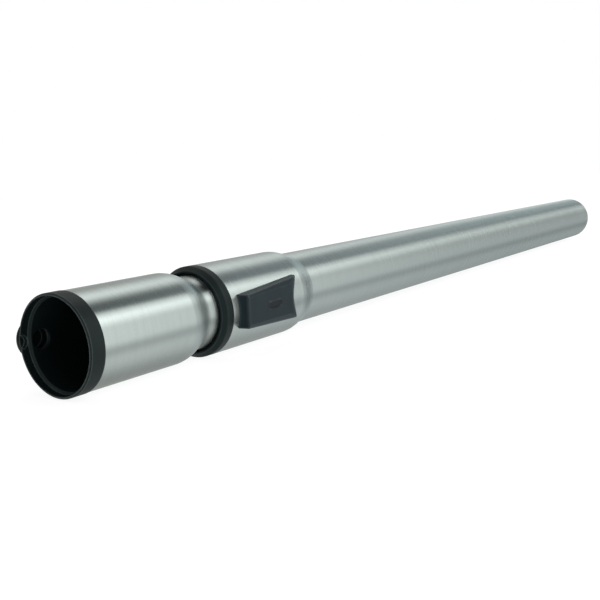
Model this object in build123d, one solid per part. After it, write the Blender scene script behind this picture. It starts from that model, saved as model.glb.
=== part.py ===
from build123d import *
import math
import os

os.makedirs("parts", exist_ok=True)

# Telescopic suction wand, closed to its shortest length and lying along +X.
# The upper tube, with the handle's socket, slides inside the lower tube, whose plain end plugs into a floor tool.
# Stations are worked out from the front of the socket's rim. The pieces are then moved together, so that
# the origin lies on the wand's axis where the socket's straight bore begins. The slider faces -Y.

# Whole wand
closed_length = 607.7
spigot_reserve = 39.7
steel_wall = 0.8
spigot_dia = 35.0
tube_gap = 0.7
seat_play = 0.02
running_play = 0.07

# Handle end: bell, its moulded collar and the latch boss
socket_play = 0.1
socket_depth = 47.8
spigot_stop_width = 2.5
spigot_stop_step = 1.2
lead_in_depth = 4.2
lead_in_chamfer = 0.8
liner_wall = 0.88
rim_length = 6.75
rim_stand = 0.17
rim_lip = 0.95
rim_edge = 0.6
liner_end_gap = 0.7
upper_shoulder_length = 12.8
upper_convex_share = 0.68
notch_width = 5.2
notch_depth = 3.2
boss_dia = 15.4
boss_setback = 8.8
boss_stand = 4.53
boss_edge = 1.6
eye_dia = 8.0
eye_roof = 1.6
boss_play = 0.15

# Mouth of the lower tube: bell, collar and seal
neck_gap = 4.55
mouth_rim_length = 5.75
mouth_rim_drop = 0.02
mouth_bevel_length = 1.95
mouth_bevel_height = 1.85
mouth_bevel_round = 0.6
mouth_hole_play = 1.15
mouth_insert_length = 7.7
lower_shoulder_length = 11.6
lower_convex_share = 0.55
seal_setback = 2.9
seal_width = 2.9
seal_lip_width = 0.8
end_round = 0.4

# Guide channel pressed along the upper tube, and what rides in it
channel_half_width = 4.5
channel_depth = 1.4
channel_setback = 14.0
channel_run_out = 4.0
key_play = 0.15
key_setback = 6.0
key_length = 19.0

# Guide sleeve, end stop and tail bearing
sleeve_wall = 2.98
sleeve_end_gap = 1.7
nose_taper = 10.5
nose_length = 2.7
stop_ring_length = 5.0
tail_grip = 20.0
tail_flange = 8.0
tail_split = 0.2
tail_seal_width = 2.4
tail_seal_depth = 0.75
tail_seal_setback = 2.8
tail_seal_play = 0.2

# Slider: button, window and carriage
slide_travel = 3.5
slide_play = 0.13
travel_stop = 0.3
button_setback = 3.9
button_front_height = 4.8
button_rear_height = 1.33
button_rake = 0.4
button_flat_length = 34.9
button_tail_length = 5.1
button_overrun = 6.0
button_front_top = 5.8
button_front_shoulder = 7.15
button_front_base = 7.3
button_front_drop = 0.45
button_rear_top = 7.2
button_rear_shoulder = 9.9
button_rear_base = 10.6
button_rear_drop = 1.1
button_wall = 1.2
button_nose = 1.2
button_corner = 5.5
dimple_length = 11.5
dimple_width = 3.0
dimple_depth = 0.3
dimple_setback = 21.8
window_setback = 5.8
window_cover = 3.6
window_half_width = 5.6
window_corner = 1.5
neck_side_play = 0.4
sleeve_floor = 0.63
rail_width = 2.0
carriage_play = 0.1
carriage_overhang = 3.3
carriage_front_play = 0.4

# Lock: cross pin, wedge, leaves and return springs
pin_dia = 4.4
pin_side_play = 0.3
pin_gap = 0.05
pin_setback = 21.8
pin_lift = 0.5
pin_opening_play = 0.3
stub_dia = 2.0
stub_end_play = 0.1
ramp_ahead = 5.0
ramp_behind = 4.0
ramp_plate_wall = 0.56
leaf_thickness = 0.25
leaf_width = 1.0
leaf_gap = 0.1
leaf_rise = 0.35
leaf_tip = 1.2
leaf_slope = 3.5
leaf_anchor = 5.0
spring_wire = 0.36
spring_dia = 2.2
spring_turns = 5
spring_length = 9.0
spring_floor = 0.28
spring_angle = 17.0
spring_play = 0.2
spring_end_wall = 1.5

# Facets of a coil's turn, kept few because the springs are small and hidden
coil_sides = 12

# Radii, from the spigot's size inwards to the upper tube, and out again to the bells
spigot_r = spigot_dia / 2
barrel_bore = spigot_r - steel_wall
upper_r = barrel_bore - tube_gap
upper_bore = upper_r - steel_wall
socket_r = spigot_r + socket_play
liner_r = socket_r + liner_wall
upper_bell_r = liner_r + seat_play + steel_wall
rim_r = upper_bell_r + rim_stand
entry_r = rim_r - rim_lip
boss_r = rim_r + boss_stand
running_bore = upper_r + running_play
sleeve_r = running_bore + sleeve_wall
lower_bell_bore = sleeve_r + seat_play
lower_bell_r = lower_bell_bore + steel_wall
mouth_rim_r = lower_bell_r - mouth_rim_drop
mouth_hole_r = upper_r + mouth_hole_play
ring_r = barrel_bore - seat_play
bearing_r = barrel_bore - running_play
channel_floor = upper_r - channel_depth
carriage_floor = running_bore + sleeve_floor
pin_r = pin_dia / 2
stub_r = stub_dia / 2
pin_centre = channel_floor + pin_gap + pin_r
ramp_slope = pin_lift / slide_travel
ramp_over_pin = pin_centre + (pin_r + pin_gap) * math.hypot(1, ramp_slope)
ramp_plate_top = ramp_over_pin + ramp_slope * ramp_ahead + ramp_plate_wall
leaf_seat = pin_centre - stub_r + leaf_rise
spring_orbit = running_bore + spring_floor + spring_play + spring_dia / 2

# Half widths across the slider
neck_half_width = window_half_width - neck_side_play
carriage_half_width = window_half_width + rail_width
pin_half_length = channel_half_width - pin_side_play
stub_half_length = window_half_width - stub_end_play
key_half_width = channel_half_width - key_play

# Stations along X, from the front of the rim
socket_floor = lead_in_depth + socket_depth
liner_end = socket_floor + spigot_stop_width
upper_bell_end = liner_end + liner_end_gap
neck_start = upper_bell_end + upper_shoulder_length
mouth_front = neck_start + neck_gap
mouth_edge = mouth_front + mouth_rim_length
insert_end = mouth_edge + mouth_insert_length
button_front = mouth_edge + button_setback
button_top_front = button_front + button_rake
button_top_rear = button_top_front + button_flat_length
button_toe = button_top_rear + button_tail_length
button_rear = button_toe + button_overrun
window_front = button_front + window_setback
window_rear = button_toe - window_cover
pin_x = button_front + pin_setback
carriage_front = insert_end + carriage_front_play
neck_front = window_front + travel_stop
neck_rear = window_rear - travel_stop - slide_travel
carriage_rear = neck_rear + carriage_overhang
pocket_rear = carriage_rear + slide_travel + travel_stop
spring_seat = carriage_rear + spring_length
sleeve_end = spring_seat + spring_end_wall
lower_bell_end = sleeve_end + sleeve_end_gap
barrel_start = lower_bell_end + lower_shoulder_length
nose_end = barrel_start + nose_length
stop_face = nose_end + stop_ring_length
key_front = lower_bell_end - key_setback
tail_end = closed_length - spigot_reserve
upper_end = tail_end - tail_flange
tail_front = upper_end - tail_grip
channel_start = mouth_edge + channel_setback


def turned(*edges):
    """A ring or tube from its half section, drawn in X and radius."""
    return revolve(make_face(list(edges)), Axis.X)


def path(*points):
    """Straight edges through the points in turn."""
    return list(Polyline(*points).edges())


def ring(start, end, inner, outer):
    return turned(*path((start, inner), (end, inner), (end, outer), (start, outer), (start, inner)))


def rod(start, end, radius, y=0.0, z=0.0):
    """A plain round bar along X."""
    bar = Cylinder(radius, end - start)
    return Pos((start + end) / 2, y, z) * Rot(0, 90, 0) * bar


def block(x0, x1, y0, y1, z0, z1):
    size = Box(x1 - x0, y1 - y0, z1 - z0)
    return Pos((x0 + x1) / 2, (y0 + y1) / 2, (z0 + z1) / 2) * size


def slab(points, half_width):
    """A flat outline in X and Y, thickened to both sides of the middle plane."""
    return extrude(make_face(Polyline(*points, close=True)), amount=half_width, both=True)


def shoulder(x0, r0, x1, r1, share, inset):
    """The two arcs that draw a bell down to its tube, level with both at their ends."""
    drop = r0 - r1
    length = x1 - x0
    both = (drop * drop + length * length) / (2 * drop)
    turn = math.asin(length / both)
    convex = both * share
    concave = both - convex
    outer_r = convex - inset
    inner_r = concave + inset
    outer_centre = (x0, r0 - convex)
    inner_centre = (x1, r1 + concave)

    def on_outer(angle):
        return (outer_centre[0] + outer_r * math.sin(angle), outer_centre[1] + outer_r * math.cos(angle))

    def on_inner(angle):
        return (inner_centre[0] - inner_r * math.sin(angle), inner_centre[1] - inner_r * math.cos(angle))

    falling = ThreePointArc(on_outer(0), on_outer(turn / 2), on_outer(turn))
    levelling = ThreePointArc(on_outer(turn), on_inner(turn / 2), on_inner(0))
    return [falling, levelling]


def steel_tube(start, end, bell_r, bell_end, tube_start, tube_r, share, end_edges):
    """A tube with a wider bell at its start, in one sheet thickness."""
    bell_bore = bell_r - steel_wall
    tube_bore = tube_r - steel_wall
    outside = [Line((start, bell_bore), (start, bell_r)), Line((start, bell_r), (bell_end, bell_r))]
    outside += shoulder(bell_end, bell_r, tube_start, tube_r, share, 0)
    outside += end_edges
    inside = [Line((end, tube_bore), (tube_start, tube_bore))]
    inside += shoulder(bell_end, bell_r, tube_start, tube_r, share, steel_wall)
    inside += [Line((bell_end, bell_bore), (start, bell_bore))]
    return turned(*outside, *inside)


def channel_cut(inset):
    """The guide channel as a cutter, or its inner wall where it is inset by the sheet thickness."""
    floor = channel_floor - inset
    outline = [
        (channel_start - inset, -upper_r - 1),
        (channel_start - inset, -upper_r + inset),
        (channel_start - inset + channel_run_out, -floor),
        (upper_end + 1, -floor),
        (upper_end + 1, -upper_r - 1),
    ]
    return slab(outline, channel_half_width + inset)


def upper_tube():
    bell_bore = upper_bell_r - steel_wall
    outside = [Line((rim_length, 0), (rim_length, upper_bell_r))]
    outside += [Line((rim_length, upper_bell_r), (upper_bell_end, upper_bell_r))]
    outside += shoulder(upper_bell_end, upper_bell_r, neck_start, upper_r, upper_convex_share, 0)
    outside += path((neck_start, upper_r), (upper_end, upper_r), (upper_end, 0), (rim_length, 0))
    inside = [Line((rim_length, 0), (rim_length, bell_bore))]
    inside += [Line((rim_length, bell_bore), (upper_bell_end, bell_bore))]
    inside += shoulder(upper_bell_end, upper_bell_r, neck_start, upper_r, upper_convex_share, steel_wall)
    inside += path((neck_start, upper_bore), (upper_end, upper_bore), (upper_end, 0), (rim_length, 0))
    hollow = turned(*inside) - channel_cut(steel_wall)
    tube = turned(*outside) - channel_cut(0) - hollow
    slot_half = boss_dia / 2 + boss_play
    slot = block(rim_length - 1, boss_setback, 0, boss_r, -slot_half, slot_half)
    slot += Pos(boss_setback, boss_r / 2, 0) * Rot(90, 0, 0) * Cylinder(slot_half, boss_r)
    return tube - slot


def socket_collar():
    """Lining and rim of the handle's socket, in one moulding with the latch boss."""
    section = path(
        (0, entry_r),
        (0, rim_r - rim_edge),
        (rim_edge, rim_r),
        (rim_length, rim_r),
        (rim_length, liner_r),
        (liner_end, liner_r),
        (liner_end, socket_r - spigot_stop_step),
        (socket_floor, socket_r - spigot_stop_step),
        (socket_floor, socket_r),
        (lead_in_depth, socket_r),
        (lead_in_depth - lead_in_chamfer, entry_r),
        (0, entry_r),
    )
    boss = Cylinder(boss_dia / 2, boss_r)
    boss = chamfer(boss.edges().group_by(Axis.Z)[-1], boss_edge)
    boss = Pos(boss_setback, boss_r / 2, 0) * Rot(-90, 0, 0) * boss
    boss -= rod(-boss_dia, boss_dia * 2, (entry_r + rim_r) / 2)
    boss -= rod(lead_in_depth, boss_dia * 2, (socket_r + liner_r) / 2)
    collar = turned(*section) + boss
    eye_depth = boss_r - eye_roof
    collar -= Pos(boss_setback, eye_depth / 2, 0) * Rot(90, 0, 0) * Cylinder(eye_dia / 2, eye_depth)
    notch_end = notch_depth - notch_width / 2
    notch = block(-1, notch_end, 0, rim_r + 1, -notch_width / 2, notch_width / 2)
    notch += Pos(notch_end, rim_r / 2, 0) * Rot(90, 0, 0) * Cylinder(notch_width / 2, rim_r + 2)
    return collar - notch


def tail_shell(side):
    """Half of the bearing clipped on the upper tube's inner end. side is -1 on the channel's side, else 1."""
    grip = upper_r + seat_play
    seal_front = upper_end + tail_seal_setback
    seal_rear = seal_front + tail_seal_width + tail_seal_play
    shell = ring(tail_front, tail_end, upper_bore, bearing_r)
    shell -= ring(tail_front - 1, upper_end, 0.5, grip)
    shell -= ring(seal_front, seal_rear, bearing_r - tail_seal_depth, bearing_r + 1)
    if side < 0:
        key_floor = channel_floor + key_play
        key = block(
            tail_front, upper_end - key_play, -upper_r - 1, -key_floor, -key_half_width, key_half_width
        )
        shell += key & rod(tail_front, upper_end, bearing_r)
    reach = bearing_r * 2
    half = block(tail_front - 1, tail_end + 1, tail_split / 2, reach, -reach, reach)
    if side < 0:
        half = mirror(half, Plane.XZ)
    return shell & half


def tail_seal():
    front = upper_end + tail_seal_setback + tail_seal_play / 2
    floor = bearing_r - tail_seal_depth + seat_play
    return ring(front, front + tail_seal_width, floor, bearing_r + seat_play)


def lower_tube():
    wand_end = closed_length
    end_edges = path(
        (barrel_start, spigot_r),
        (wand_end - end_round, spigot_r),
        (wand_end, spigot_r - end_round),
        (wand_end, barrel_bore),
    )
    tube = steel_tube(
        mouth_edge, wand_end, lower_bell_r, lower_bell_end,
        barrel_start, spigot_r, lower_convex_share, end_edges
    )
    window = block(
        window_front, window_rear, -lower_bell_r - 2, -barrel_bore + 2, -window_half_width, window_half_width
    )
    window = fillet(window.edges().filter_by(Axis.Y), window_corner)
    return tube - window


def mouth_collar():
    """Ring that closes the bell, bears on the upper tube and holds the seal in its mouth."""
    seal_rear = mouth_front + seal_setback + seal_width
    collar = turned(*path(
        (mouth_front, mouth_hole_r),
        (mouth_front, mouth_rim_r - mouth_bevel_height),
        (mouth_front + mouth_bevel_length, mouth_rim_r),
        (mouth_edge, mouth_rim_r),
        (mouth_edge, sleeve_r),
        (insert_end, sleeve_r),
        (insert_end, running_bore),
        (seal_rear, running_bore),
        (seal_rear, mouth_hole_r),
        (mouth_front, mouth_hole_r),
    ))
    bevel_edge = collar.edges().filter_by(GeomType.CIRCLE).group_by(Axis.X)[1]
    return fillet(bevel_edge, mouth_bevel_round)


def wiper_seal():
    """Ring with a lip that leans forwards onto the upper tube."""
    front = mouth_front + seal_setback
    rear = front + seal_width
    outer = mouth_hole_r - seat_play
    return turned(*path(
        (front, outer),
        (rear, outer),
        (rear, (running_bore + outer) / 2),
        (front + seal_lip_width, running_bore),
        (front, running_bore),
        (front, outer),
    ))


def spring_axis(side):
    angle = math.radians(spring_angle)
    return (-spring_orbit * math.cos(angle), side * spring_orbit * math.sin(angle))


def guide_sleeve():
    """Sleeve in the lower bell: bearing, channel key, and the bed of the slider and the lock."""
    sleeve = turned(*path(
        (insert_end, running_bore),
        (nose_end, running_bore),
        (nose_end, ring_r),
        (sleeve_end + nose_taper, ring_r),
        (sleeve_end, sleeve_r),
        (insert_end, sleeve_r),
        (insert_end, running_bore),
    ))
    reach = lower_bell_r
    key_rear = key_front + key_length
    key_floor = channel_floor + key_play
    key = block(key_front, key_rear, -upper_r - 1, -key_floor, -key_half_width, key_half_width)
    sleeve += key & rod(key_front, key_rear, ring_r)
    sleeve -= block(insert_end - 1, pocket_rear, -reach, -carriage_floor, -reach / 2, reach / 2)
    pin_slot = pin_r + pin_gap
    pin_half = pin_half_length + key_play
    sleeve -= block(pin_x - pin_slot, pin_x + pin_slot, -reach, -channel_floor + 1, -pin_half, pin_half)
    stub_slot = stub_r + key_play
    leaf_end = pin_x + leaf_tip + leaf_slope
    for side in (-1, 1):
        inner = side * pin_half
        outer = side * (stub_half_length + key_play)
        low = min(inner, outer)
        high = max(inner, outer)
        sleeve -= block(pin_x - stub_slot - key_play, leaf_end, -reach, -channel_floor + 1, low, high)
        sleeve -= block(leaf_end, leaf_end + leaf_anchor, -reach, -leaf_seat, low, high)
        y, z = spring_axis(side)
        sleeve -= rod(carriage_rear - 1, spring_seat, spring_dia / 2 + spring_play, y, z)
    return sleeve


def stop_ring():
    return ring(nose_end, stop_face, running_bore, ring_r)


def leaf_spring(side):
    """Leaf seated in the sleeve, whose tip lifts one end of the lock pin."""
    tip_y = -(pin_centre - stub_r - leaf_gap)
    tip_x = pin_x - leaf_tip
    bend_x = pin_x + leaf_tip
    seat_x = bend_x + leaf_slope
    end_x = seat_x + leaf_anchor - key_play
    outline = [
        (tip_x, tip_y),
        (bend_x, tip_y),
        (seat_x, -leaf_seat - leaf_thickness),
        (end_x, -leaf_seat - leaf_thickness),
        (end_x, -leaf_seat),
        (seat_x, -leaf_seat),
        (bend_x, tip_y + leaf_thickness),
        (tip_x, tip_y + leaf_thickness),
    ]
    middle = (pin_half_length + stub_half_length) / 2 + key_play
    return Pos(0, 0, side * middle) * slab(outline, leaf_width / 2)


def return_spring(side):
    """Coil spring between the carriage and the end of its bore in the sleeve."""
    y, z = spring_axis(side)
    coil_r = (spring_dia - spring_wire) / 2
    start_x = spring_wire / 2 + seat_play
    rise = (spring_length - 2 * start_x) / (spring_turns * coil_sides)
    points = []
    for step in range(spring_turns * coil_sides + 1):
        angle = 2 * math.pi * step / coil_sides
        points.append((step * rise, coil_r * math.cos(angle), coil_r * math.sin(angle)))
    wire_path = Wire(Polyline(*points).edges())
    start = Plane(origin=wire_path @ 0, z_dir=wire_path % 0)
    coil = sweep(start * Rectangle(spring_wire, spring_wire), path=wire_path, transition=Transition.RIGHT)
    return Pos(carriage_rear + start_x, y, z) * coil


def button_roof(x, drop=0.0):
    """Y of the button's flat top at a station, or of the roof under it."""
    slope = (button_front_height - button_rear_height) / button_flat_length
    height = button_front_height - slope * (x - button_top_front)
    return -(lower_bell_r + height - drop)


def button_body():
    """The cap's flat roof, bevels and drafted flanks, ruled from its front to its rear section."""
    low = lower_bell_r - 4

    def section(x, top, side, base, drop):
        foot_y = math.sqrt(lower_bell_r ** 2 - base ** 2)
        roof_y = -button_roof(x)
        side_y = roof_y - drop
        draft = (base - side) / (side_y - foot_y)
        half = [(-low, base + draft * (foot_y - low)), (-side_y, side), (-roof_y, top)]
        other_half = [(y, -z) for y, z in reversed(half)]
        plane = Plane(origin=(x, 0, 0), x_dir=(0, 1, 0), z_dir=(1, 0, 0))
        return plane * make_face(Polyline(*half, *other_half, close=True))

    front = section(
        button_front, button_front_top, button_front_shoulder, button_front_base, button_front_drop
    )
    rear = section(button_rear, button_rear_top, button_rear_shoulder, button_rear_base, button_rear_drop)
    return loft([front, rear], ruled=True)


def top_plane():
    """Plane on the button's flat top, X along its slope and Z outwards."""
    start = Vector(button_top_front, button_roof(button_top_front), 0)
    along = (Vector(button_top_rear, button_roof(button_top_rear), 0) - start).normalized()
    return Plane(origin=start, x_dir=along, z_dir=Vector(along.Y, -along.X, 0))


def slide_button():
    """Thumb cap: steep front, bevelled roof with a dimple, and a tail rounded down to the bell."""
    foot = -(lower_bell_r - 4)
    above = -(lower_bell_r + 2 * button_front_height)
    tail_y = -math.sqrt(lower_bell_r ** 2 - button_rear_base ** 2)
    top_front = (button_top_front, button_roof(button_top_front))
    top_rear = (button_top_rear, button_roof(button_top_rear))
    outline = path(
        (button_rear, foot), (button_front, foot), (button_front, -lower_bell_r), top_front,
        (button_top_front, above), (button_top_rear, above), top_rear
    )
    outline += [ThreePointArc(top_rear, (button_toe, -lower_bell_r), (button_rear, tail_y))]
    outline += [Line((button_rear, tail_y), (button_rear, foot))]
    cap = button_body() & extrude(make_face(outline), amount=lower_bell_r, both=True)
    upward = top_plane().z_dir
    roof = cap.faces().filter_by(lambda face: face.normal_at().dot(upward) > 0.999)
    nose = roof.edges().group_by(Axis.X)[0]
    cap = fillet(nose, button_nose)
    plan = block(button_front - 1, button_rear, -2 * lower_bell_r, 0, -button_rear_base, button_rear_base)
    rear_corners = plan.edges().filter_by(Axis.Y).group_by(Axis.X)[-1]
    cap &= fillet(rear_corners, button_corner)
    cap -= rod(button_front - 1, button_rear + 1, lower_bell_r + slide_play)
    dimple = Pos(dimple_setback, 0) * SlotOverall(dimple_length, dimple_width)
    cap -= extrude(top_plane().offset(-dimple_depth) * dimple, amount=dimple_depth * 2)

    hollow_front = button_top_front + button_wall
    hollow = [
        (hollow_front, foot),
        (hollow_front, button_roof(hollow_front, button_wall)),
        (button_top_rear, button_roof(button_top_rear, button_wall)),
        (button_top_rear, foot),
    ]
    return cap - slab(hollow, neck_half_width + seat_play)


def slide_carriage():
    """Moulding that rides under the bell and stands up through its window into the button."""
    bottom = -(carriage_floor + carriage_play)
    neck = slab(
        [
            (neck_front, bottom),
            (neck_front, button_roof(neck_front, button_wall)),
            (neck_rear, button_roof(neck_rear, button_wall)),
            (neck_rear, bottom),
        ],
        neck_half_width,
    )
    neck = fillet(neck.edges().filter_by(Axis.Y), window_corner)
    rails = block(
        carriage_front, carriage_rear, -lower_bell_r, bottom, -carriage_half_width, carriage_half_width
    )
    rails &= rod(carriage_front, carriage_rear, lower_bell_bore - slide_play)
    carriage = neck + rails
    opening_front = pin_x - slide_travel - pin_r - pin_opening_play
    opening_rear = pin_x + pin_r + pin_opening_play
    pin_half = pin_half_length + pin_opening_play
    stub_half = stub_half_length + pin_opening_play
    stub_top = pin_centre + stub_r + pin_lift + pin_opening_play
    carriage -= block(opening_front, opening_rear, -ramp_plate_top, 0, -pin_half, pin_half)
    carriage -= block(pin_x - ramp_ahead, pin_x + ramp_behind, -ramp_plate_top, 0, -pin_half, pin_half)
    return carriage - block(opening_front, opening_rear, -stub_top, 0, -stub_half, stub_half)


def ramp_plate():
    """Hardened wedge over the lock pin. Its slope gives the pin its lift over the slider's travel."""
    front = pin_x - ramp_ahead + seat_play
    rear = pin_x + ramp_behind - seat_play
    half = pin_half_length + pin_opening_play - seat_play
    outline = [
        (front, -ramp_plate_top),
        (front, -(ramp_over_pin + ramp_slope * (pin_x - front))),
        (rear, -(ramp_over_pin + ramp_slope * (pin_x - rear))),
        (rear, -ramp_plate_top),
    ]
    return slab(outline, half)


def lock_pin():
    pin = Cylinder(pin_r, 2 * pin_half_length) + Cylinder(stub_r, 2 * stub_half_length)
    return Pos(pin_x, -pin_centre, 0) * pin


pieces = {
    "upper_tube": upper_tube(),
    "socket_collar": socket_collar(),
    "tail_guide_front": tail_shell(-1),
    "tail_guide_back": tail_shell(1),
    "tail_seal": tail_seal(),
    "lower_tube": lower_tube(),
    "mouth_collar": mouth_collar(),
    "wiper_seal": wiper_seal(),
    "guide_sleeve": guide_sleeve(),
    "stop_ring": stop_ring(),
    "return_spring_upper": return_spring(1),
    "return_spring_lower": return_spring(-1),
    "leaf_spring_upper": leaf_spring(1),
    "leaf_spring_lower": leaf_spring(-1),
    "slide_button": slide_button(),
    "slide_carriage": slide_carriage(),
    "ramp_plate": ramp_plate(),
    "lock_pin": lock_pin(),
}

for name, piece in pieces.items():
    export_step(Pos(-lead_in_depth, 0, 0) * piece, f"parts/{name}.step")
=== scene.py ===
# Telescopic vacuum wand: finishes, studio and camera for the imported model
import math

import bpy
import bmesh
from mathutils import Matrix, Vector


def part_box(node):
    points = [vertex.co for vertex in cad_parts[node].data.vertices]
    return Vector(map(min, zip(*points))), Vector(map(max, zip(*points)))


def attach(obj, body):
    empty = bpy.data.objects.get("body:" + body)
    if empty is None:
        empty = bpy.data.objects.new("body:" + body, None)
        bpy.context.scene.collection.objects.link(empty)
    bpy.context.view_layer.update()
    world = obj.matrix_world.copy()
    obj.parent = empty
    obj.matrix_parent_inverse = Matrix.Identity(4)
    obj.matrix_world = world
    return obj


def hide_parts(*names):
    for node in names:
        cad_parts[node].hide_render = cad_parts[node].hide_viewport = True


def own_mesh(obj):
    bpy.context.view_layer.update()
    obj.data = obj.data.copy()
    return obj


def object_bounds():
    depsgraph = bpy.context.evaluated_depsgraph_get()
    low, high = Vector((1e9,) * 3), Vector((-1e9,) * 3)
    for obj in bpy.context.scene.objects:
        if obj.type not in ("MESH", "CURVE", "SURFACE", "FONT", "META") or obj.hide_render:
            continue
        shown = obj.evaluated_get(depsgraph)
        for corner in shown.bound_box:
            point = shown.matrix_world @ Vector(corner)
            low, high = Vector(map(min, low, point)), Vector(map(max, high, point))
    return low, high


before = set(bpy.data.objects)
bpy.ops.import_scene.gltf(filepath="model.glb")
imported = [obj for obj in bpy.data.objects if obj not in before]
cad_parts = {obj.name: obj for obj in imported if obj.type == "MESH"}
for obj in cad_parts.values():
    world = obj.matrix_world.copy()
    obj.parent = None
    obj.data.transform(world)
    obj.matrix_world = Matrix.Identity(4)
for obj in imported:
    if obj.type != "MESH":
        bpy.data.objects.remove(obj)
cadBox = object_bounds()
scene = bpy.context.scene
print("Frame loaded")

# Small helpers for shader trees


def addNode(tree, kind, x, y, **settings):
    node = tree.nodes.new(kind)
    node.location = (x, y)
    for name, value in settings.items():
        setattr(node, name, value)
    return node


def joinNodes(tree, source, target):
    tree.links.new(source, target)


def emptyTree(owner):
    owner.use_nodes = True
    owner.node_tree.nodes.clear()
    return owner.node_tree


def addInput(group, name, value):
    group.interface.new_socket(name, in_out="INPUT", socket_type="NodeSocketFloat").default_value = value


def addOutput(group, name, kind="NodeSocketFloat"):
    group.interface.new_socket(name, in_out="OUTPUT", socket_type=kind)


# Brushed grain: fine lines that run round the tube, with broader soft streaks under them
brushGrain = {"lines": 2600, "streaks": 240, "across": 55, "detail": 4, "roughness": 0.6}


def buildGrainGroup():
    group = bpy.data.node_groups.new("roundBrushing", "ShaderNodeTree")
    addInput(group, "Line Density", brushGrain["lines"])
    addInput(group, "Streak Density", brushGrain["streaks"])
    addOutput(group, "Lines")
    addOutput(group, "Streaks")
    inside = addNode(group, "NodeGroupInput", -900, 0)
    outside = addNode(group, "NodeGroupOutput", 500, 0)
    coords = addNode(group, "ShaderNodeTexCoord", -900, 300)
    for row, (density, label) in enumerate((("Line Density", "Lines"), ("Streak Density", "Streaks"))):
        stretch = addNode(group, "ShaderNodeCombineXYZ", -650, -260 * row)
        joinNodes(group, inside.outputs[density], stretch.inputs["X"])
        stretch.inputs["Y"].default_value = brushGrain["across"]
        stretch.inputs["Z"].default_value = brushGrain["across"]
        spread = addNode(group, "ShaderNodeVectorMath", -420, -260 * row, operation="MULTIPLY")
        joinNodes(group, coords.outputs["Object"], spread.inputs[0])
        joinNodes(group, stretch.outputs["Vector"], spread.inputs[1])
        noise = addNode(group, "ShaderNodeTexNoise", -180, -260 * row)
        noise.inputs["Scale"].default_value = 1
        noise.inputs["Detail"].default_value = brushGrain["detail"]
        noise.inputs["Roughness"].default_value = brushGrain["roughness"]
        joinNodes(group, spread.outputs["Vector"], noise.inputs["Vector"])
        joinNodes(group, noise.outputs["Fac"], outside.inputs[label])
    return group


# Moulded grain: a fine matt spark and slow cloudiness, as on eroded injection tooling
mouldGrain = {"grain": 3000, "grainDetail": 3, "cloud": 90, "cloudDetail": 2}


def buildMouldGroup():
    group = bpy.data.node_groups.new("mouldedGrain", "ShaderNodeTree")
    addInput(group, "Grain Scale", mouldGrain["grain"])
    addOutput(group, "Grain")
    addOutput(group, "Cloud")
    inside = addNode(group, "NodeGroupInput", -700, 0)
    outside = addNode(group, "NodeGroupOutput", 300, 0)
    coords = addNode(group, "ShaderNodeTexCoord", -700, 300)
    grain = addNode(group, "ShaderNodeTexNoise", -300, 100)
    grain.inputs["Detail"].default_value = mouldGrain["grainDetail"]
    joinNodes(group, coords.outputs["Object"], grain.inputs["Vector"])
    joinNodes(group, inside.outputs["Grain Scale"], grain.inputs["Scale"])
    joinNodes(group, grain.outputs["Fac"], outside.inputs["Grain"])
    cloud = addNode(group, "ShaderNodeTexNoise", -300, -200)
    cloud.inputs["Scale"].default_value = mouldGrain["cloud"]
    cloud.inputs["Detail"].default_value = mouldGrain["cloudDetail"]
    joinNodes(group, coords.outputs["Object"], cloud.inputs["Vector"])
    joinNodes(group, cloud.outputs["Fac"], outside.inputs["Cloud"])
    return group


# Edge wear and painted highlight: edges painted lighter where a softly rounded normal turns away from the
# real one, and only outside the reach from the wand's axis, where hands and floors rub, so none inside the
# bore
edgeWearAndHighlight = {
    "width": 0.001,
    "samples": 6,
    "reach": 0.0181,
    "fadeFrom": 0.97,  # share of the reach where the painted edge mark begins
    "unpainted": 0.999,  # agreement of the two normals where the edge is left unpainted
    "fullyPainted": 0.93,  # and where the edge is painted fully, wear and highlight together
}


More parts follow.
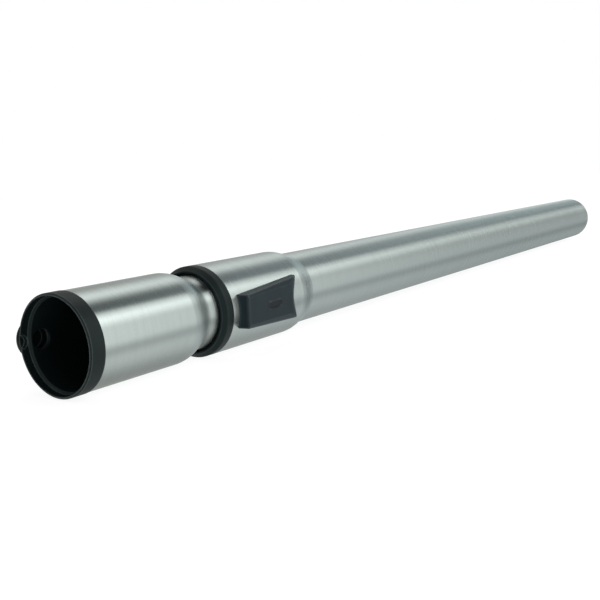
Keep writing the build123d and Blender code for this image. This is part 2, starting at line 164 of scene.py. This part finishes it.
def buildEdgeGroup():
    group = bpy.data.node_groups.new("edgeWearAndPaintedHighlight", "ShaderNodeTree")
    addInput(group, "Width", edgeWearAndHighlight["width"])
    addInput(group, "Reach", edgeWearAndHighlight["reach"])
    addOutput(group, "Wear And Highlight")
    addOutput(group, "Soft Normal", "NodeSocketVector")
    inside = addNode(group, "NodeGroupInput", -700, 0)
    outside = addNode(group, "NodeGroupOutput", 300, 0)
    rounded = addNode(group, "ShaderNodeBevel", -500, 0, samples=edgeWearAndHighlight["samples"])
    joinNodes(group, inside.outputs["Width"], rounded.inputs["Radius"])
    flat = addNode(group, "ShaderNodeNewGeometry", -500, -160)
    agree = addNode(group, "ShaderNodeVectorMath", -280, 0, operation="DOT_PRODUCT")
    joinNodes(group, rounded.outputs["Normal"], agree.inputs[0])
    joinNodes(group, flat.outputs["Normal"], agree.inputs[1])
    wearHighlightShare = addNode(group, "ShaderNodeMapRange", -80, 0)
    wearHighlightShare.inputs["From Min"].default_value = edgeWearAndHighlight["unpainted"]
    wearHighlightShare.inputs["From Max"].default_value = edgeWearAndHighlight["fullyPainted"]
    joinNodes(group, agree.outputs["Value"], wearHighlightShare.inputs["Value"])
    coords = addNode(group, "ShaderNodeTexCoord", -700, -360)
    across = addNode(group, "ShaderNodeVectorMath", -500, -360, operation="MULTIPLY")
    across.inputs[1].default_value = (0, 1, 1)
    joinNodes(group, coords.outputs["Object"], across.inputs[0])
    radius = addNode(group, "ShaderNodeVectorMath", -300, -360, operation="LENGTH")
    joinNodes(group, across.outputs["Vector"], radius.inputs[0])
    within = addNode(group, "ShaderNodeMath", -300, -520, operation="MULTIPLY")
    within.inputs[1].default_value = edgeWearAndHighlight["fadeFrom"]
    joinNodes(group, inside.outputs["Reach"], within.inputs[0])
    outsideReach = addNode(group, "ShaderNodeMapRange", -100, -360)
    joinNodes(group, radius.outputs["Value"], outsideReach.inputs["Value"])
    joinNodes(group, within.outputs["Value"], outsideReach.inputs["From Min"])
    joinNodes(group, inside.outputs["Reach"], outsideReach.inputs["From Max"])
    both = addNode(group, "ShaderNodeMath", 120, -200, operation="MULTIPLY")
    joinNodes(group, wearHighlightShare.outputs["Result"], both.inputs[0])
    joinNodes(group, outsideReach.outputs["Result"], both.inputs[1])
    joinNodes(group, both.outputs["Value"], outside.inputs["Wear And Highlight"])
    joinNodes(group, rounded.outputs["Normal"], outside.inputs["Soft Normal"])
    return group


grainGroup = buildGrainGroup()
mouldGroup = buildMouldGroup()
edgeGroup = buildEdgeGroup()
noiseSpan = (0.3, 0.7)  # where most of a noise's values lie
print("Effects built")


def spreadValue(tree, source, low, high, x, y):
    span = addNode(tree, "ShaderNodeMapRange", x, y)
    span.inputs["From Min"].default_value = noiseSpan[0]
    span.inputs["From Max"].default_value = noiseSpan[1]
    span.inputs["To Min"].default_value = low
    span.inputs["To Max"].default_value = high
    joinNodes(tree, source, span.inputs["Value"])
    return span.outputs["Result"]


def twoTone(tree, source, first, second, x, y):
    ramp = addNode(tree, "ShaderNodeValToRGB", x, y)
    for end, position, tone in zip(ramp.color_ramp.elements, noiseSpan, (first, second)):
        end.position = position
        end.color = (*tone, 1)
    joinNodes(tree, source, ramp.inputs["Fac"])
    return ramp.outputs["Color"]


# A mix node's sockets go by number: 0 is the share, 6 and 7 are the two colours, 2 and 3 the two values


def mixTone(tree, share, first, second, x, y):
    tone = addNode(tree, "ShaderNodeMix", x, y, data_type="RGBA")
    joinNodes(tree, share, tone.inputs[0])
    joinNodes(tree, first, tone.inputs[6])
    tone.inputs[7].default_value = (*second, 1)
    return tone.outputs[2]


def mixValue(tree, share, first, second, x, y):
    level = addNode(tree, "ShaderNodeMix", x, y, data_type="FLOAT")
    joinNodes(tree, share, level.inputs[0])
    joinNodes(tree, first, level.inputs[2])
    level.inputs[3].default_value = second
    return level.outputs[0]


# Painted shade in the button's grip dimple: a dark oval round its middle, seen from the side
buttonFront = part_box("slide_button")[0].x


def hollowMask(tree, hollow, x, y):
    coords = addNode(tree, "ShaderNodeTexCoord", x, y)
    moved = addNode(tree, "ShaderNodeVectorMath", x + 180, y, operation="SUBTRACT")
    moved.inputs[1].default_value = (buttonFront + hollow["fromFront"], 0, 0)
    joinNodes(tree, coords.outputs["Object"], moved.inputs[0])
    scaled = addNode(tree, "ShaderNodeVectorMath", x + 360, y, operation="MULTIPLY")
    scaled.inputs[1].default_value = (1 / hollow["reach"][0], 0, 1 / hollow["reach"][1])
    joinNodes(tree, moved.outputs["Vector"], scaled.inputs[0])
    distance = addNode(tree, "ShaderNodeVectorMath", x + 540, y, operation="LENGTH")
    joinNodes(tree, scaled.outputs["Vector"], distance.inputs[0])
    inside = addNode(tree, "ShaderNodeMapRange", x + 720, y)
    inside.inputs["From Min"].default_value = hollow["fade"][0]
    inside.inputs["From Max"].default_value = hollow["fade"][1]
    joinNodes(tree, distance.outputs["Value"], inside.inputs["Value"])
    return inside.outputs["Result"]


def startMaterial(name):
    material = bpy.data.materials.new(name)
    tree = emptyTree(material)
    out = addNode(tree, "ShaderNodeOutputMaterial", 600, 0)
    shader = addNode(tree, "ShaderNodeBsdfPrincipled", 300, 0)
    joinNodes(tree, shader.outputs["BSDF"], out.inputs["Surface"])
    return material, tree, shader


def addEdges(tree, look):
    edges = addNode(tree, "ShaderNodeGroup", -700, 500, node_tree=edgeGroup)
    edges.inputs["Width"].default_value = look["edgeWidth"]
    return edges


def addBump(tree, look, height, shader):
    bump = addNode(tree, "ShaderNodeBump", 0, -320)
    bump.inputs["Strength"].default_value = look["bump"]
    bump.inputs["Distance"].default_value = look["depth"]
    joinNodes(tree, height, bump.inputs["Height"])
    joinNodes(tree, bump.outputs["Normal"], shader.inputs["Normal"])
    return bump


def makeSteel(name, look):
    material, tree, shader = startMaterial(name)
    brushing = addNode(tree, "ShaderNodeGroup", -700, 0, node_tree=grainGroup)
    brushing.inputs["Line Density"].default_value = look["lines"]
    brushing.inputs["Streak Density"].default_value = look["streaks"]
    edges = addEdges(tree, look)
    shader.inputs["Metallic"].default_value = 1
    tone = twoTone(tree, brushing.outputs["Streaks"], look["dark"], look["light"], -400, 200)
    # edges painted lighter, partly wear and partly painted highlight
    tone = mixTone(tree, edges.outputs["Wear And Highlight"], tone, look["edgeTone"], 20, 300)
    joinNodes(tree, tone, shader.inputs["Base Color"])
    rough = spreadValue(tree, brushing.outputs["Lines"], *look["roughness"], -400, -60)
    joinNodes(tree, rough, shader.inputs["Roughness"])
    addBump(tree, look, brushing.outputs["Lines"], shader)
    shader.inputs["Anisotropic"].default_value = look["stretch"]
    lengthwise = addNode(tree, "ShaderNodeCombineXYZ", 0, -520)
    lengthwise.inputs["X"].default_value = 1
    joinNodes(tree, lengthwise.outputs["Vector"], shader.inputs["Tangent"])
    return material


def makePlastic(name, look):
    material, tree, shader = startMaterial(name)
    mould = addNode(tree, "ShaderNodeGroup", -700, 0, node_tree=mouldGroup)
    mould.inputs["Grain Scale"].default_value = look["grain"]
    edges = addEdges(tree, look)
    tone = twoTone(tree, mould.outputs["Cloud"], look["dark"], look["light"], -400, 200)
    # edges painted lighter, partly wear and partly painted highlight
    tone = mixTone(tree, edges.outputs["Wear And Highlight"], tone, look["edgeTone"], 20, 300)
    if "hollow" in look:
        # painted shade darkens the grip dimple
        shade = hollowMask(tree, look["hollow"], -700, 900)
        tone = mixTone(tree, shade, tone, look["hollow"]["tone"], 160, 500)
    joinNodes(tree, tone, shader.inputs["Base Color"])
    rough = spreadValue(tree, mould.outputs["Grain"], *look["roughness"], -400, -60)
    rough = mixValue(tree, edges.outputs["Wear And Highlight"], rough, look["edgeRoughness"], 20, 60)
    joinNodes(tree, rough, shader.inputs["Roughness"])
    shader.inputs["Specular IOR Level"].default_value = look["specular"]
    shader.inputs["Specular Tint"].default_value = (*look["glint"], 1)
    bump = addBump(tree, look, mould.outputs["Grain"], shader)
    joinNodes(tree, edges.outputs["Soft Normal"], bump.inputs["Normal"])
    return material


# In each look, edgeTone is the colour painted along edges: partly wear, partly painted highlight
steelLooks = {
    "satinSteel": {
        "lines": 2600, "streaks": 420, "dark": (0.55, 0.625, 0.62), "light": (0.58, 0.66, 0.655),
        "roughness": (0.23, 0.28), "stretch": 1.0, "bump": 0.02, "depth": 0.00001,
        "edgeWidth": 0.0004, "edgeTone": (0.72, 0.78, 0.77)},
    "springWire": {
        "lines": 5200, "streaks": 900, "dark": (0.42, 0.43, 0.44), "light": (0.54, 0.55, 0.56),
        "roughness": (0.22, 0.34), "stretch": 0.0, "bump": 0.1, "depth": 0.00001,
        "edgeWidth": 0.0001, "edgeTone": (0.62, 0.63, 0.64)},
    "groundSteel": {
        "lines": 4200, "streaks": 700, "dark": (0.36, 0.37, 0.39), "light": (0.47, 0.48, 0.50),
        "roughness": (0.26, 0.40), "stretch": 0.0, "bump": 0.2, "depth": 0.00001,
        "edgeWidth": 0.0003, "edgeTone": (0.60, 0.61, 0.63)},
}
plasticLooks = {
    "charcoalPlastic": {
        "grain": 2600, "dark": (0.003, 0.0055, 0.006), "light": (0.0045, 0.008, 0.0085),
        "roughness": (0.44, 0.54), "specular": 0.32, "glint": (0.78, 1.0, 1.0),
        "bump": 0.25, "depth": 0.00003, "edgeWidth": 0.0006,
        "edgeTone": (0.070, 0.088, 0.090), "edgeRoughness": 0.20},
    "slatePlastic": {
        "grain": 2600, "dark": (0.006, 0.012, 0.018), "light": (0.009, 0.017, 0.024),
        "roughness": (0.36, 0.46), "specular": 0.44, "glint": (0.84, 1.0, 1.0),
        "bump": 0.3, "depth": 0.00003, "edgeWidth": 0.0011,
        "edgeTone": (0.060, 0.078, 0.086), "edgeRoughness": 0.22,
        # painted shade in the grip dimple
        "hollow": {"fromFront": 0.0222, "reach": (0.0068, 0.0022), "fade": (1.15, 0.75),
                   "tone": (0.003, 0.005, 0.008)}},
    "naturalAcetal": {
        "grain": 1800, "dark": (0.62, 0.60, 0.54), "light": (0.70, 0.68, 0.62),
        "roughness": (0.28, 0.42), "specular": 0.5, "glint": (1.0, 1.0, 1.0),
        "bump": 0.1, "depth": 0.00002, "edgeWidth": 0.0003,
        "edgeTone": (0.74, 0.73, 0.69), "edgeRoughness": 0.36},
    "sealRubber": {
        "grain": 3600, "dark": (0.014, 0.014, 0.014), "light": (0.022, 0.022, 0.022),
        "roughness": (0.62, 0.8), "specular": 0.3, "glint": (1.0, 1.0, 1.0),
        "bump": 0.3, "depth": 0.00003, "edgeWidth": 0.0003,
        "edgeTone": (0.034, 0.034, 0.034), "edgeRoughness": 0.6},
}
finishes = {name: makeSteel(name, look) for name, look in steelLooks.items()}
finishes.update({name: makePlastic(name, look) for name, look in plasticLooks.items()})
nodeFinish = {
    "upper_tube": "satinSteel",
    "lower_tube": "satinSteel",
    "socket_collar": "charcoalPlastic",
    "mouth_collar": "charcoalPlastic",
    "slide_button": "slatePlastic",
    "tail_guide_front": "naturalAcetal",
    "tail_guide_back": "naturalAcetal",
    "guide_sleeve": "naturalAcetal",
    "slide_carriage": "naturalAcetal",
    "tail_seal": "sealRubber",
    "wiper_seal": "sealRubber",
    "stop_ring": "sealRubber",
    "return_spring_upper": "springWire",
    "return_spring_lower": "springWire",
    "leaf_spring_upper": "springWire",
    "leaf_spring_lower": "springWire",
    "ramp_plate": "groundSteel",
    "lock_pin": "groundSteel",
}
for nodeName, finishName in nodeFinish.items():
    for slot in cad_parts[nodeName].material_slots:
        slot.material = finishes[finishName]
print("Finishes placed")

# The carriage pushes the return springs shorter against their seat; each is drawn as a merged, smooth-shaded
# copy on the lower tube
springs = {
    "nodes": ("return_spring_upper", "return_spring_lower"),
    "body": "lower_tube",
    "slot": "spring_steel",
    "joint": "slider_push",
    "seat": 0.12328,  # along the wand, where the springs end
    "length": 0.009,
    "merge": 0.000001,
}


def drawSpring(nodeName):
    mesh = bpy.data.meshes.new(nodeName + "_drawn")
    wire = bmesh.new()
    wire.from_mesh(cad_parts[nodeName].data)
    bmesh.ops.remove_doubles(wire, verts=wire.verts, dist=springs["merge"])
    for facet in wire.faces:
        facet.smooth = True
    wire.to_mesh(mesh)
    wire.free()
    mesh.materials.append(finishes[nodeFinish[nodeName]])
    piece = bpy.data.objects.new(nodeName + "_drawn", mesh)
    scene.collection.objects.link(piece)
    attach(piece, springs["body"])
    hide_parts(nodeName)
    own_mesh(piece)


for nodeName in springs["nodes"]:
    drawSpring(nodeName)
print("Springs ready")

# Studio: pale floor, soft light all round, and the photograph's camera
studio = {
    "floorSize": 6.0,
    "floorMiddle": 0.3,  # along the wand
    "floorDiffuse": 0.24,
    "floorGlow": 0.89,
    "backdrop": 1.0,
}
# Rings of light cards round the wand, each for rays that lean along it by "lean". A card is its level at so
# many degrees: 0 is towards the slider's side, 90 straight up, -90 straight down
rings = (
    {"lean": 0.66, "tint": (1.02, 1.0, 0.96), "cards": (
        (-180, 0.82), (-150, 0.78), (-132, 0.42), (-96, 0.38), (-45, 0.80), (-27, 0.58), (-6, 1.16),
        (22, 1.22), (44, 2.10), (54, 1.34), (64, 0.03), (78, 0.02), (108, 1.36), (124, 0.80), (138, 0.38),
        (160, 0.50))},
    {"lean": 0.83, "tint": (0.97, 1.0, 1.01), "cards": (
        (-180, 0.70), (-124, 0.62), (-45, 0.66), (-28, 0.56), (0, 0.60), (30, 0.38), (60, 0.40), (90, 0.60),
        (104, 0.46), (133, 0.60))},
    {"lean": 0.94, "tint": (0.86, 1.0, 1.01), "cards": (
        (-180, 0.52), (-118, 0.26), (-45, 0.20), (30, 0.10), (66, 0.06), (100, 0.92), (128, 0.70))},
)
# The dimmer side that the open mouth looks at, fading in for rays that lean the other way
frontRing = {"fade": (-0.10, -0.45), "tint": (0.96, 1.0, 1.0), "cards": (
    (-180, 0.16), (-130, 0.22), (-90, 0.34), (-45, 0.50), (0, 0.44), (22, 0.50), (44, 0.90), (64, 0.16),
    (84, 0.30), (108, 0.70), (135, 0.26))}


def grey(level):
    return (level, level, level, 1)


def buildFloor():
    mesh = bpy.data.meshes.new("floor")
    flat = bmesh.new()
    bmesh.ops.create_grid(flat, x_segments=1, y_segments=1, size=studio["floorSize"] / 2)
    bmesh.ops.translate(flat, verts=flat.verts, vec=(studio["floorMiddle"], 0, cadBox[0].z))
    flat.to_mesh(mesh)
    flat.free()
    floor = bpy.data.objects.new("floor", mesh)
    scene.collection.objects.link(floor)
    material = bpy.data.materials.new("paleFloor")
    tree = emptyTree(material)
    out = addNode(tree, "ShaderNodeOutputMaterial", 500, 0)
    diffuse = addNode(tree, "ShaderNodeBsdfDiffuse", -200, 0)
    diffuse.inputs["Color"].default_value = grey(studio["floorDiffuse"])
    glow = addNode(tree, "ShaderNodeEmission", -200, -150)
    glow.inputs["Strength"].default_value = studio["floorGlow"]
    both = addNode(tree, "ShaderNodeAddShader", 0, 0)
    joinNodes(tree, diffuse.outputs["BSDF"], both.inputs[0])
    joinNodes(tree, glow.outputs["Emission"], both.inputs[1])
    clear = addNode(tree, "ShaderNodeBsdfTransparent", 0, -200)
    sides = addNode(tree, "ShaderNodeNewGeometry", 0, 250)
    choose = addNode(tree, "ShaderNodeMixShader", 250, 0)
    joinNodes(tree, sides.outputs["Backfacing"], choose.inputs["Fac"])
    joinNodes(tree, both.outputs["Shader"], choose.inputs[1])
    joinNodes(tree, clear.outputs["BSDF"], choose.inputs[2])
    joinNodes(tree, choose.outputs["Shader"], out.inputs["Surface"])
    mesh.materials.append(material)
    floor.visible_glossy = False  # reflections show the rings of cards alone


# Levels that change round the wand, from a ring of cards


def addRing(tree, turnShare, ring, row):
    ramp = addNode(tree, "ShaderNodeValToRGB", 100, -250 * row)
    joinNodes(tree, turnShare, ramp.inputs["Fac"])
    stops = ramp.color_ramp
    stops.interpolation = "EASE"
    for end in stops.elements:
        end.color = tuple(ring["cards"][0][1] * share for share in ring["tint"]) + (1,)
    for degrees, level in ring["cards"][1:]:
        card = stops.elements.new((degrees + 180) / 360)
        card.color = tuple(level * share for share in ring["tint"]) + (1,)
    return ramp.outputs["Color"]


# The first gives way to the second as a ray leans over the span


def addFade(tree, lean, span, first, second, row):
    share = addNode(tree, "ShaderNodeMapRange", 300, -250 * row)
    share.inputs["From Min"].default_value = span[0]
    share.inputs["From Max"].default_value = span[1]
    joinNodes(tree, lean, share.inputs["Value"])
    fade = addNode(tree, "ShaderNodeMix", 500, -250 * row, data_type="RGBA")
    joinNodes(tree, share.outputs["Result"], fade.inputs[0])
    joinNodes(tree, first, fade.inputs[6])
    joinNodes(tree, second, fade.inputs[7])
    return fade.outputs[2]


def buildWorld():
    scene.world = bpy.data.worlds.new("studio")
    tree = emptyTree(scene.world)
    out = addNode(tree, "ShaderNodeOutputWorld", 1200, 0)
    coords = addNode(tree, "ShaderNodeTexCoord", -900, 0)
    split = addNode(tree, "ShaderNodeSeparateXYZ", -700, 0)
    joinNodes(tree, coords.outputs["Generated"], split.inputs["Vector"])
    towards = addNode(tree, "ShaderNodeMath", -500, 100, operation="MULTIPLY")
    towards.inputs[1].default_value = -1
    joinNodes(tree, split.outputs["Y"], towards.inputs[0])
    angle = addNode(tree, "ShaderNodeMath", -300, 0, operation="ARCTAN2")
    joinNodes(tree, split.outputs["Z"], angle.inputs[0])
    joinNodes(tree, towards.outputs["Value"], angle.inputs[1])
    turnShare = addNode(tree, "ShaderNodeMapRange", -100, 0)
    turnShare.inputs["From Min"].default_value = -math.pi
    turnShare.inputs["From Max"].default_value = math.pi
    joinNodes(tree, angle.outputs["Value"], turnShare.inputs["Value"])
    around = addRing(tree, turnShare.outputs["Result"], rings[0], 0)
    for row, (ring, nextRing) in enumerate(zip(rings, rings[1:]), start=1):
        following = addRing(tree, turnShare.outputs["Result"], nextRing, row)
        around = addFade(tree, split.outputs["X"], (ring["lean"], nextRing["lean"]), around, following, row)
    front = addRing(tree, turnShare.outputs["Result"], frontRing, len(rings))
    around = addFade(tree, split.outputs["X"], frontRing["fade"], around, front, len(rings))
    lit = addNode(tree, "ShaderNodeBackground", 800, 0)
    joinNodes(tree, around, lit.inputs["Color"])
    seen = addNode(tree, "ShaderNodeBackground", 800, -200)
    seen.inputs["Color"].default_value = grey(studio["backdrop"])
    rays = addNode(tree, "ShaderNodeLightPath", 800, 300)
    choose = addNode(tree, "ShaderNodeMixShader", 1000, 0)
    joinNodes(tree, rays.outputs["Is Camera Ray"], choose.inputs["Fac"])
    joinNodes(tree, lit.outputs["Background"], choose.inputs[1])
    joinNodes(tree, seen.outputs["Background"], choose.inputs[2])
    joinNodes(tree, choose.outputs["Shader"], out.inputs["Surface"])


# The photograph's wand is turned a little about its own axis, so the camera turns instead
viewpoint = {
    "place": (-0.196669, -0.237441, 0.072861),
    "heading": 55.773,
    "tilt": 10.798,
    "wandTurn": 3.3,
    "lens": 50.57,
    "sensor": 36.0,
    "nearest": 0.01,
    "farthest": 50,
}


def buildCamera():
    data = bpy.data.cameras.new("photoCamera")
    data.lens = viewpoint["lens"]
    data.sensor_width = viewpoint["sensor"]
    data.clip_start = viewpoint["nearest"]
    data.clip_end = viewpoint["farthest"]
    camera = bpy.data.objects.new("photoCamera", data)
    scene.collection.objects.link(camera)
    aim = Matrix.Rotation(math.radians(-viewpoint["heading"]), 4, "Z")
    aim @= Matrix.Rotation(math.radians(90 - viewpoint["tilt"]), 4, "X")
    turn = Matrix.Rotation(math.radians(viewpoint["wandTurn"]), 4, "X")
    camera.matrix_world = turn @ Matrix.Translation(viewpoint["place"]) @ aim
    scene.camera = camera


buildFloor()
buildWorld()
buildCamera()
scene.view_settings.view_transform = "Standard"
print("Studio ready")
